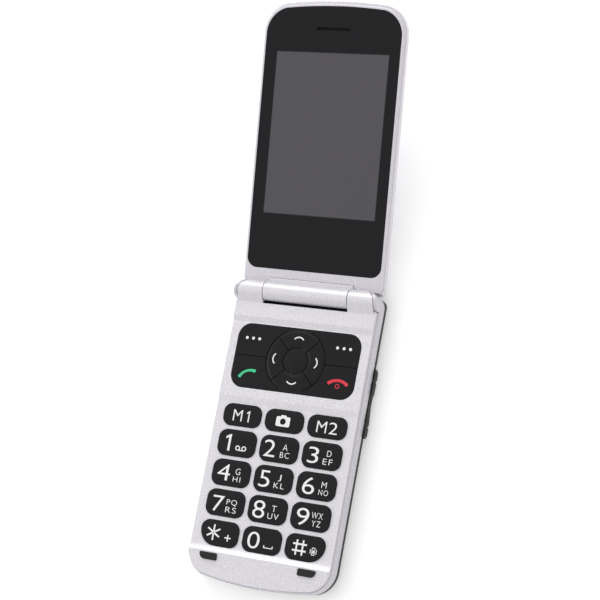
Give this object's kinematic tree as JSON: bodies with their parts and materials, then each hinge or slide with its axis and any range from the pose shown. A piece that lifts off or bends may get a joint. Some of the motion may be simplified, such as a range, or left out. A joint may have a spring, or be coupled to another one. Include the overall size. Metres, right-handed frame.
{
  "type": "clamshell mobile phone",
  "caption": "Open clamshell mobile phone with large number keys, a black direction-key panel, a barrel hinge and a lid with a dark window over the display.",
  "frame": {"origin": "centre of the base's flat back, on which the open phone rests", "axes": "+X to the right of the keys, +Y from the chin to the hinge and on along the lid, +Z out of the keys"},
  "size_m": [0.0555, 0.2056, 0.0327],
  "materials": {
    "silver_paint": "satin fine metallic paint on moulded plastic",
    "band_paint": "satin metallic paint, slightly greyer",
    "bezel_paint": "satin metallic paint, slightly greyer",
    "housing_black": "fine matte texture",
    "key_black": "satin",
    "panel_black": "semi gloss",
    "rubber_black": "matte",
    "window_acrylic": "polished, tinted black round the display",
    "display_glass": "polarizer film, unlit",
    "steel": "satin",
    "mesh_steel": "blackened weave",
    "gold_contact": "plated",
    "circuit_board": "solder resist",
    "ribbon_film": "polyimide film",
    "battery_case": "wrapped",
    "inner_black": "moulded"
  },
  "bodies": {
    "base": {"rear_housing": "housing_black", "mid_frame": "band_paint", "front_cover": "silver_paint", "battery_cover": "housing_black", "battery": "battery_case", "battery_contacts": "gold_contact", "main_board": "circuit_board", "dome_sheet": "steel", "sim_holder": "steel", "charge_socket": "steel", "microphone": "steel", "loudspeaker": "inner_black", "vibration_motor": "steel", "antenna": "gold_contact", "camera_module": "inner_black", "camera_window": "window_acrylic", "rocker_switches": "steel", "lid_bumpers": "rubber_black", "case_screws": "steel", "hinge_cartridge": "steel", "hinge_sleeve": "steel", "hinge_ribbon": "ribbon_film"},
    "lid": {"hinge_barrel": "silver_paint", "lid_bezel": "bezel_paint", "lid_cover": "silver_paint", "lid_window": "window_acrylic", "display_module": "display_glass", "earpiece": "inner_black", "earpiece_mesh": "mesh_steel", "lid_board": "circuit_board", "display_ribbon": "ribbon_film", "lid_magnet": "steel", "lid_screws": "steel"},
    "rocker": {"volume_rocker": "housing_black"},
    "body_key_m1": {"key_m1": "key_black"},
    "body_key_camera": {"key_camera": "key_black"},
    "body_key_m2": {"key_m2": "key_black"},
    "body_key_1": {"key_1": "key_black"},
    "body_key_2": {"key_2": "key_black"},
    "body_key_3": {"key_3": "key_black"},
    "body_key_4": {"key_4": "key_black"},
    "body_key_5": {"key_5": "key_black"},
    "body_key_6": {"key_6": "key_black"},
    "body_key_7": {"key_7": "key_black"},
    "body_key_8": {"key_8": "key_black"},
    "body_key_9": {"key_9": "key_black"},
    "body_key_star": {"key_star": "key_black"},
    "body_key_0": {"key_0": "key_black"},
    "body_key_hash": {"key_hash": "key_black"},
    "body_key_soft_left": {"key_soft_left": "panel_black"},
    "body_key_soft_right": {"key_soft_right": "panel_black"},
    "body_key_call": {"key_call": "panel_black"},
    "body_key_end": {"key_end": "panel_black"},
    "body_key_up": {"key_up": "panel_black"},
    "body_key_down": {"key_down": "panel_black"},
    "body_key_left": {"key_left": "panel_black"},
    "body_key_right": {"key_right": "panel_black"},
    "body_key_ok": {"key_ok": "panel_black"}
  },
  "joints": [
    {"name": "lid_hinge", "type": "hinge", "parent": "base", "child": "lid", "pos_m": [0, 0.0502, 0.0103], "axis": [1, 0, 0], "range_deg": [0, 166.9]},
    {"name": "rocker_tilt", "type": "hinge", "parent": "base", "child": "rocker", "pos_m": [0.02555, 0.0157, 0.0033], "axis": [0, 0, 1], "range_deg": [-2, 2], "stiffness_Nm_per_rad": 0.6},
    {"name": "key_m1_press", "type": "slide", "parent": "base", "child": "body_key_m1", "axis": [0, 0, -1], "range_m": [0, 0.0003], "stiffness_N_per_m": 6000, "springref_m": -0.00002},
    {"name": "key_camera_press", "type": "slide", "parent": "base", "child": "body_key_camera", "axis": [0, 0, -1], "range_m": [0, 0.0003], "stiffness_N_per_m": 6000, "springref_m": -0.00002},
    {"name": "key_m2_press", "type": "slide", "parent": "base", "child": "body_key_m2", "axis": [0, 0, -1], "range_m": [0, 0.0003], "stiffness_N_per_m": 6000, "springref_m": -0.00002},
    {"name": "key_1_press", "type": "slide", "parent": "base", "child": "body_key_1", "axis": [0, 0, -1], "range_m": [0, 0.0003], "stiffness_N_per_m": 6000, "springref_m": -0.00002},
    {"name": "key_2_press", "type": "slide", "parent": "base", "child": "body_key_2", "axis": [0, 0, -1], "range_m": [0, 0.0003], "stiffness_N_per_m": 6000, "springref_m": -0.00002},
    {"name": "key_3_press", "type": "slide", "parent": "base", "child": "body_key_3", "axis": [0, 0, -1], "range_m": [0, 0.0003], "stiffness_N_per_m": 6000, "springref_m": -0.00002},
    {"name": "key_4_press", "type": "slide", "parent": "base", "child": "body_key_4", "axis": [0, 0, -1], "range_m": [0, 0.0003], "stiffness_N_per_m": 6000, "springref_m": -0.00002},
    {"name": "key_5_press", "type": "slide", "parent": "base", "child": "body_key_5", "axis": [0, 0, -1], "range_m": [0, 0.0003], "stiffness_N_per_m": 6000, "springref_m": -0.00002},
    {"name": "key_6_press", "type": "slide", "parent": "base", "child": "body_key_6", "axis": [0, 0, -1], "range_m": [0, 0.0003], "stiffness_N_per_m": 6000, "springref_m": -0.00002},
    {"name": "key_7_press", "type": "slide", "parent": "base", "child": "body_key_7", "axis": [0, 0, -1], "range_m": [0, 0.0003], "stiffness_N_per_m": 6000, "springref_m": -0.00002},
    {"name": "key_8_press", "type": "slide", "parent": "base", "child": "body_key_8", "axis": [0, 0, -1], "range_m": [0, 0.0003], "stiffness_N_per_m": 6000, "springref_m": -0.00002},
    {"name": "key_9_press", "type": "slide", "parent": "base", "child": "body_key_9", "axis": [0, 0, -1], "range_m": [0, 0.0003], "stiffness_N_per_m": 6000, "springref_m": -0.00002},
    {"name": "key_star_press", "type": "slide", "parent": "base", "child": "body_key_star", "axis": [0, 0, -1], "range_m": [0, 0.0003], "stiffness_N_per_m": 6000, "springref_m": -0.00002},
    {"name": "key_0_press", "type": "slide", "parent": "base", "child": "body_key_0", "axis": [0, 0, -1], "range_m": [0, 0.0003], "stiffness_N_per_m": 6000, "springref_m": -0.00002},
    {"name": "key_hash_press", "type": "slide", "parent": "base", "child": "body_key_hash", "axis": [0, 0, -1], "range_m": [0, 0.0003], "stiffness_N_per_m": 6000, "springref_m": -0.00002},
    {"name": "key_soft_left_press", "type": "slide", "parent": "base", "child": "body_key_soft_left", "axis": [0, 0, -1], "range_m": [0, 0.0003], "stiffness_N_per_m": 6000, "springref_m": -0.00002},
    {"name": "key_soft_right_press", "type": "slide", "parent": "base", "child": "body_key_soft_right", "axis": [0, 0, -1], "range_m": [0, 0.0003], "stiffness_N_per_m": 6000, "springref_m": -0.00002},
    {"name": "key_call_press", "type": "slide", "parent": "base", "child": "body_key_call", "axis": [0, 0, -1], "range_m": [0, 0.0003], "stiffness_N_per_m": 6000, "springref_m": -0.00002},
    {"name": "key_end_press", "type": "slide", "parent": "base", "child": "body_key_end", "axis": [0, 0, -1], "range_m": [0, 0.0003], "stiffness_N_per_m": 6000, "springref_m": -0.00002},
    {"name": "key_up_press", "type": "slide", "parent": "base", "child": "body_key_up", "axis": [0, 0, -1], "range_m": [0, 0.0003], "stiffness_N_per_m": 6000, "springref_m": -0.00002},
    {"name": "key_down_press", "type": "slide", "parent": "base", "child": "body_key_down", "axis": [0, 0, -1], "range_m": [0, 0.0003], "stiffness_N_per_m": 6000, "springref_m": -0.00002},
    {"name": "key_left_press", "type": "slide", "parent": "base", "child": "body_key_left", "axis": [0, 0, -1], "range_m": [0, 0.0003], "stiffness_N_per_m": 6000, "springref_m": -0.00002},
    {"name": "key_right_press", "type": "slide", "parent": "base", "child": "body_key_right", "axis": [0, 0, -1], "range_m": [0, 0.0003], "stiffness_N_per_m": 6000, "springref_m": -0.00002},
    {"name": "key_ok_press", "type": "slide", "parent": "base", "child": "body_key_ok", "axis": [0, 0, -1], "range_m": [0, 0.0003], "stiffness_N_per_m": 6000, "springref_m": -0.00002}
  ]
}
